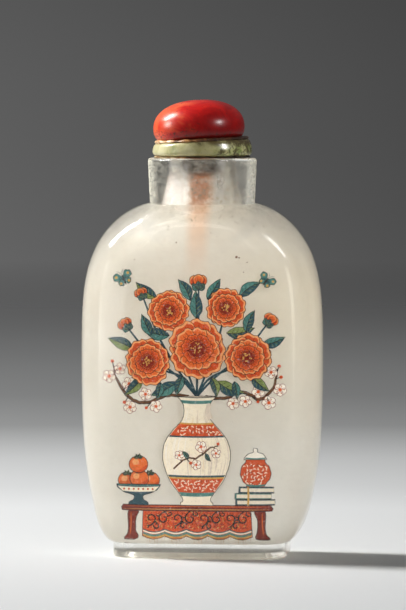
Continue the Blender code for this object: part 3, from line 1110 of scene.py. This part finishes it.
def paint_flowers(brush):
    """The bouquet: stalks, leaves, flowers and buds, the nearest ones last."""
    mouth = (0.0, 25.2)
    heads = [(-4.3, 38.4, 3.2), (4.5, 38.9, 3.1), (-7.6, 30.6, 3.7), (7.8, 31.3, 3.7),
             (0.1, 32.6, 4.6)]
    buds = [(0.3, 41.6, 1.6, 2.4), (-10.4, 35.4, 2.2, 2.0), (10.6, 36.2, 0.9, 2.0),
            (-8.2, 40.2, 2.0, 1.8)]
    brush.coat()
    for x, z in [head[:2] for head in heads] + [item[:2] for item in buds]:
        brush.stroke("dark_teal", smooth([mouth, (0.25 * x, 28.0), (0.7 * x, (z + 28.0) / 2),
                                          (x, z)]), 0.34, 1.0, 0.7)
    twig(brush, [(-1.2, 25.2), (-4.4, 25.4), (-7.6, 24.2), (-10.2, 24.8), (-12.3, 27.6),
                 (-12.9, 30.2)], 0.42,
         [(0.30, (-0.2, -1.2), 0.95), (0.45, (0.1, 1.3), 1.0), (0.58, (-0.4, -1.1), 1.0),
          (0.72, (0.9, 1.0), 1.05), (0.84, (-1.0, 0.1), 1.0), (0.93, (0.9, 0.5), 0.9),
          (0.99, (-0.2, 0.8), 0.5), (0.66, (-0.6, -0.9), 0.5), (0.38, (-0.7, -0.9), 0.45)])
    twig(brush, [(1.2, 25.2), (4.3, 25.0), (7.2, 25.9), (9.8, 24.9), (11.6, 26.6),
                 (12.2, 29.4)], 0.42,
         [(0.28, (0.3, -1.1), 0.95), (0.44, (-0.2, -1.3), 0.95), (0.56, (0.5, 1.0), 1.0),
          (0.70, (0.3, -1.2), 1.05), (0.83, (1.0, -0.2), 1.0), (0.94, (-0.8, 0.6), 0.95),
          (0.99, (0.3, 0.9), 0.5), (0.5, (0.8, -0.9), 0.45), (0.9, (0.8, 0.3), 0.5)])
    leaves = [(-3.0, 27.4, 3.6, 4.6), (3.2, 27.6, -0.4, 4.6), (-9.8, 32.5, 2.75, 4.2),
              (10.0, 33.2, 0.35, 3.6), (-1.0, 40.0, 2.1, 3.8), (1.6, 40.2, 1.0, 3.8),
              (-6.2, 40.4, 2.5, 4.0), (6.6, 40.6, 0.6, 4.0), (-4.2, 34.6, 2.9, 4.2),
              (4.6, 35.0, 0.2, 4.4), (-8.4, 28.0, 3.9, 3.8), (8.4, 28.4, -0.7, 3.6),
              (-2.2, 28.4, 4.4, 3.2), (2.2, 28.2, -1.3, 3.2), (0.0, 37.2, 1.6, 4.4),
              (-7.0, 34.6, 2.0, 3.6), (7.6, 35.2, 1.2, 3.6), (-5.6, 27.4, 4.5, 2.8),
              (5.8, 27.6, -1.4, 2.8)]
    for x, z, turn, length in leaves:
        body = "teal" if hand.random() < 0.65 else "leaf_green"
        leaf(brush, (x, z), turn, length, length * 0.22, hand.uniform(-0.4, 0.4), body)
    for x, z, turn, size in buds:
        bud(brush, (x, z), turn, size)
    for x, z, radius in heads:
        peony(brush, (x, z), radius)


def paint_fruit(brush):
    """A footed dish of orange fruit on the left."""
    rings = [(-10.7, 12.1), (-7.2, 12.2), (-8.9, 12.5), (-9.0, 14.7)]
    circle = [(cos, 0.92 * sin) for cos, sin in around(20)]
    radius = 1.45
    for x, z in rings:
        brush.shape("vermilion", placed(circle, (x, z), size=radius))
        brush.coat()
        shade = [(0.95, -0.1), (0.75, -0.5), (0.3, -0.82), (-0.3, -0.84), (0.2, -0.55), (0.65, -0.2)]
        brush.fill("iron_red", placed(smooth(shade, True, 3).tolist(), (x, z), size=radius))
        brush.fill("pale_orange", placed(circle, (x - 0.45, z + 0.35), 0.6, 0.34 * radius))
        brush.coat()
        for turn in (0.3, 1.3, 2.2, 3.0):
            leaf(brush, (x, z + 0.95), turn, 0.75, 0.17, 0.0, "leaf_green")
    dish, half = turned([(TABLE_TOP, 1.5), (8.8, 1.45), (9.3, 0.75), (9.9, 0.8), (10.4, 2.2),
                         (11.0, 3.1), (11.6, 3.4)], -9.0)
    brush.shape("dark_teal", dish)
    band(brush, half, -9.0, 10.55, 11.3, "cream")
    brush.coat()
    for i in range(7):
        brush.dot("iron_red", (-11.2 + 0.73 * i, 10.88), 0.17)
    brush.stroke("teal", [(-12.1, 11.5), (-9.0, 11.36), (-5.9, 11.5)], 0.16, 0.9, 0.9)


def paint_books(brush):
    """Books with tied covers and a brocade jar on the right."""
    for i, (x, half, cover) in enumerate(((8.9, 2.9, "dark_teal"), (8.6, 2.7, "teal"),
                                          (9.1, 2.6, "dark_teal"))):
        low = TABLE_TOP + 0.95 * i
        brush.shape(cover, [(x - half, low), (x + half, low), (x + half, low + 0.95),
                            (x - half, low + 0.95)])
        brush.coat().fill("cream", [(x - half + 0.25, low + 0.2), (x + half, low + 0.2),
                                    (x + half, low + 0.75), (x - half + 0.25, low + 0.75)])
        brush.coat()
        for rise in (0.35, 0.5, 0.63):
            brush.stroke("grey_pink", [(x - half + 0.3, low + rise), (x + half, low + rise)], 0.06)
    brush.coat().stroke("ochre", [(7.9, 8.5), (7.95, 10.0), (7.9, 11.3)], 0.3, 1.0, 1.0)
    jar, half = turned([(11.3, 1.3), (11.7, 1.45), (12.4, 2.0), (13.4, 2.3), (14.5, 2.0),
                        (15.2, 1.45), (15.6, 1.35)], 9.0)
    brush.shape("iron_red", jar)
    brocade(brush, lambda x, z: abs(x - 9.0) < 0.85 * width_at(half, z),
            (6.7, 11.8, 11.3, 15.1))
    band(brush, half, 9.0, 11.45, 11.75, "teal")
    lid, _ = turned([(15.5, 1.65), (15.8, 1.6), (16.4, 1.1), (16.7, 0.3), (17.0, 0.35),
                     (17.3, 0.25)], 9.0)
    brush.shape("pale_cream", lid)
    brush.coat().stroke("teal", [(7.5, 15.75), (9.0, 15.65), (10.5, 15.75)], 0.22, 0.9, 0.9)


PIGMENTS = {
    "ink": (0.020, 0.016, 0.014),
    "dark_line": (0.07, 0.014, 0.010),
    "deep_red": (0.24, 0.022, 0.010),
    "dark_red": (0.20, 0.025, 0.014),
    "iron_red": (0.62, 0.082, 0.016),
    "vermilion": (0.76, 0.150, 0.030),
    "pale_orange": (0.84, 0.36, 0.14),
    "cream": (0.92, 0.83, 0.66),
    "pale_cream": (0.93, 0.87, 0.77),
    "grey_pink": (0.74, 0.64, 0.53),
    "pale_ochre": (0.84, 0.68, 0.46),
    "ochre": (0.62, 0.36, 0.09),
    "teal": (0.075, 0.22, 0.20),
    "dark_teal": (0.025, 0.075, 0.10),
    "leaf_green": (0.22, 0.29, 0.09),
    "bark": (0.16, 0.07, 0.03),
}


def dry_paint(name, colour):
    """Dry paint under the glass, thinner in some places than in others."""
    thin = tuple(value + (0.85 - value) * 0.26 for value in colour)
    rich = tuple(value * (0.70 + 0.24 * min(colour)) for value in colour)
    look = new_look(name, Roughness=0.85, Specular_IOR_Level=0.0)
    wash = look.noise(2300.0, 5.0, 0.75)
    look.set(Base_Color=wash.ramp((0.36, rich), (0.48, colour), (0.58, colour), (0.66, thin)))
    return look.block


def paint_dirt(brush):
    """A few brown grains of old snuff that stick to the wall."""
    brush.coat()
    for x, z, radius in ((6.1, 46.7, 0.19), (6.5, 46.6, 0.12), (-3.2, 48.9, 0.10),
                         (7.7, 45.9, 0.08), (7.2, 44.4, 0.09), (-9.6, 46.2, 0.07),
                         (11.3, 30.6, 0.07), (-12.6, 20.4, 0.06)):
        brush.dot("bark", (x, z), radius)


def build_painting():
    """A bouquet in a vase on a table, in the colours and at the scale of the old painting."""
    brush = Brush()
    paint_dirt(brush)
    paint_table(brush)
    for paint_group in (paint_fruit, paint_books):
        brush.start(THICK_COAT)
        paint_group(brush)
    brush.start(COAT)
    paint_flowers(brush)
    paint_vase(brush)
    butterfly(brush, (-11.2, 43.2), 2.0, 1.7)
    butterfly(brush, (10.6, 43.0), 0.9, 1.5)
    for pigment, points in brush.points.items():
        mesh = bpy.data.meshes.new("paint_" + pigment)
        mesh.from_pydata(points, [], brush.faces[pigment])
        finish_piece(mesh, [dry_paint(pigment, PIGMENTS[pigment])])


# Camera, stage and lights


CAMERA_DISTANCE = 0.700
CAMERA_HEIGHT = 0.075
CAMERA_AZIMUTH = math.radians(6.0)
SENSOR_WIDTH = 36.0
METRES_PER_PIXEL = 0.1556 * MM
PICTURE_HEIGHT = 610
AIM = Vector((0.1 * MM, 0.0, 38.9 * MM))
NECK_SPOT = Vector((-2.5 * MM, -4.0 * MM, 56.0 * MM))
FLOOR_RADIUS = 3.0
FLOOR_GREYS = [(0.0, 0.80), (0.08, 0.76), (0.12, 0.64), (0.18, 0.53), (0.26, 0.29), (0.35, 0.24),
               (0.56, 0.26), (1.0, 0.22)]
ROOM_STRENGTH = 3.0
ROOM_LOW = -0.1
ROOM_GREYS = [(-0.10, 1.50), (-0.05, 1.22), (-0.02, 1.05), (0.0, 0.98), (0.02, 0.86),
              (0.12, 0.85), (0.35, 1.7), (1.0, 2.0)]
BACKDROP_LEFT = -0.15
BACKDROP_RIGHT = -0.06
BACKDROP_BRIGHT = 0.108
BACKDROP_DARK = 0.070
WHITE = (1.0, 1.0, 1.0)
CARD_COLOUR = (1.0, 0.98, 0.86)


def add_aimed(name, data, place, target):
    """A camera or light at a place, turned to a target."""
    thing = bpy.data.objects.new(name, data)
    bpy.context.scene.collection.objects.link(thing)
    thing.location = place
    thing.rotation_euler = (target - thing.location).to_track_quat("-Z", "Y").to_euler()
    return thing


def add_camera():
    """The camera at the photograph's place, with its long lens."""
    data = bpy.data.cameras.new("camera")
    place = (AIM.x + CAMERA_DISTANCE * math.sin(CAMERA_AZIMUTH),
             -CAMERA_DISTANCE * math.cos(CAMERA_AZIMUTH), CAMERA_HEIGHT)
    camera = add_aimed("camera", data, place, AIM)
    sight = AIM - camera.location
    data.sensor_width = SENSOR_WIDTH
    data.lens = SENSOR_WIDTH * sight.length / (PICTURE_HEIGHT * METRES_PER_PIXEL)
    data.clip_start = 0.01
    data.clip_end = 50.0
    bpy.context.scene.camera = camera


def add_floor():
    """A pale floor, darker with distance, with a painted contact shadow under the foot, that fades
    into the backdrop.
    """
    look = new_look("pale_floor", Roughness=0.7, Specular_IOR_Level=0.1)
    place = look.node("ShaderNodeTexCoord", "Object")
    away = look.node("ShaderNodeVectorMath", "Value", {0: place}, operation="LENGTH")
    colour = away.ramp(*[(reach, (0.965 * grey, 0.985 * grey, grey))
                         for reach, grey in FLOOR_GREYS])
    # painted shadow: the floor darker under the foot, seen through the glass
    along_x = abs(look.axis("X") / FOOT_HALF_WIDTH) ** FOOT_PLAN[0]
    along_y = abs(look.axis("Y") / FOOT_HALF_DEPTH) ** FOOT_PLAN[1]
    painted_contact_shadow = (along_x + along_y).fade(0.5, 0.9, 1.0, 0.0)
    look.set(Base_Color=colour.under((painted_contact_shadow, (0.25, 0.25, 0.235))))
    clear = look.node("ShaderNodeBsdfTransparent", "BSDF")
    look.surface(look.mix_shaders(away.fade(0.45, 1.1), look.body, clear))
    mesh = bpy.data.meshes.new("floor")
    ring = [(FLOOR_RADIUS * cos, FLOOR_RADIUS * sin, 0.0) for cos, sin in around(96)]
    mesh.from_pydata(ring, [], [tuple(range(96))])
    mesh.materials.append(look.block)
    floor = bpy.data.objects.new("floor", mesh)
    bpy.context.scene.collection.objects.link(floor)
    floor.location.z = -0.02 * MM


def add_world():
    """A dark grey room, a little brighter below and overhead, darker toward its right."""
    world = bpy.data.worlds.new("room")
    bpy.context.scene.world = world
    look = Look(world, "Background", Strength=ROOM_STRENGTH)
    greys = [((z - ROOM_LOW) / (1.0 - ROOM_LOW), (grey / ROOM_STRENGTH,) * 3)
             for z, grey in ROOM_GREYS]
    up = look.axis("Z", "Generated").fade(ROOM_LOW, 1.0).ramp(*greys)
    across = look.axis("X", "Generated").fade(BACKDROP_LEFT, BACKDROP_RIGHT,
                                              BACKDROP_BRIGHT, BACKDROP_DARK)
    look.set(Color=up.under((1.0, across), blend="MULTIPLY"))


def add_light(name, kind, lit, direction, distance, power, target=AIM, **settings):
    """A light that the camera doesn't see, turned to a target; lit are the pieces it reaches."""
    data = bpy.data.lights.new(name, kind)
    data.energy = power
    for key, value in settings.items():
        setattr(data, key, value)
    light = add_aimed(name, data, target + Vector(direction).normalized() * distance, target)
    light.visible_camera = False
    if lit:
        receivers = bpy.data.collections.new("lit_by_" + name)
        for piece in lit:
            receivers.objects.link(piece)
        light.light_linking.receiver_collection = receivers
    return light


def add_panel(name, lit, direction, distance, size, power, colour=WHITE):
    """A rectangular soft light that faces the bottle."""
    return add_light(name, "AREA", lit, direction, distance, power, shape="RECTANGLE",
                     size=size[0], size_y=size[1], color=colour)


def add_lights():
    """A key light from the left for all, and lights that reach the bottle or stopper alone.

    Two dim cards stand behind the bottle on either side, for the edges of the glass. The
    sheen is seen only as a reflection in the neck, and the neck light only on its skin.
    """
    pieces = {piece.name: piece for piece in bpy.context.scene.objects}
    bottle = [pieces[name] for name in pieces if name.startswith(("bottle_glass", "paint_"))]
    collar = [pieces["collar_stone"]]
    cap = [pieces["cap_coral"], pieces["glue_bead"]]
    add_panel("key_light", None, (-0.715, 0.165, 0.65), 0.62, (0.09, 0.23), 5.3,
              (1.0, 0.99, 0.97))
    add_panel("left_card", bottle, (-0.88, 0.47, 0.06), 0.50, (0.22, 0.36), 0.07, CARD_COLOUR)
    add_panel("right_card", bottle, (0.88, 0.47, 0.06), 0.50, (0.22, 0.36), 0.09, CARD_COLOUR)
    side = add_panel("side_light", bottle, (0.66, -0.44, 0.56), 0.60, (0.12, 0.22), 1.45)
    side.rotation_euler.rotate_axis("Z", math.radians(40))
    add_panel("top_light", bottle, (-0.32, -0.64, 0.69), 0.60, (0.22, 0.11), 0.24)
    add_panel("left_panel", bottle + collar, (-0.87, -0.48, 0.10), 0.60, (0.22, 0.24), 0.38)
    add_panel("stopper_light", cap, (-0.90, -0.14, 0.30), 0.60, (0.14, 0.20), 2.2)
    add_panel("stopper_glint", cap + collar, (0.79, -0.44, 0.43), 0.60, (0.05, 0.05), 1.7)
    sheen = add_panel("neck_sheen", bottle, (-0.707, -0.707, -0.053), 0.30, (0.24, 0.03), 0.085)
    sheen.visible_diffuse = False
    sheen.visible_transmission = False
    neck = add_light("neck_light", "SPOT", bottle, (-0.45, -0.88, 0.12), 0.60, 30.0, NECK_SPOT,
                     spot_size=math.radians(1.05), spot_blend=0.9, shadow_soft_size=0.01)
    neck.visible_glossy = False
    neck.visible_transmission = False
    add_panel("right_panel", bottle, (0.72, -0.68, -0.05), 0.60, (0.16, 0.30), 0.62)
    add_panel("front_fill", bottle, (-0.10, -0.97, 0.40), 0.80, (0.50, 0.24), 0.86)


def build_scene():
    """All pieces, then the stage around them."""
    for build in (build_glass, build_collar, build_cap, build_glue, build_cork, build_spoon,
                  build_painting, add_camera, add_floor, add_world, add_lights):
        build()
    view = bpy.context.scene.view_settings
    view.view_transform = "Standard"
    view.look = "None"


build_scene()
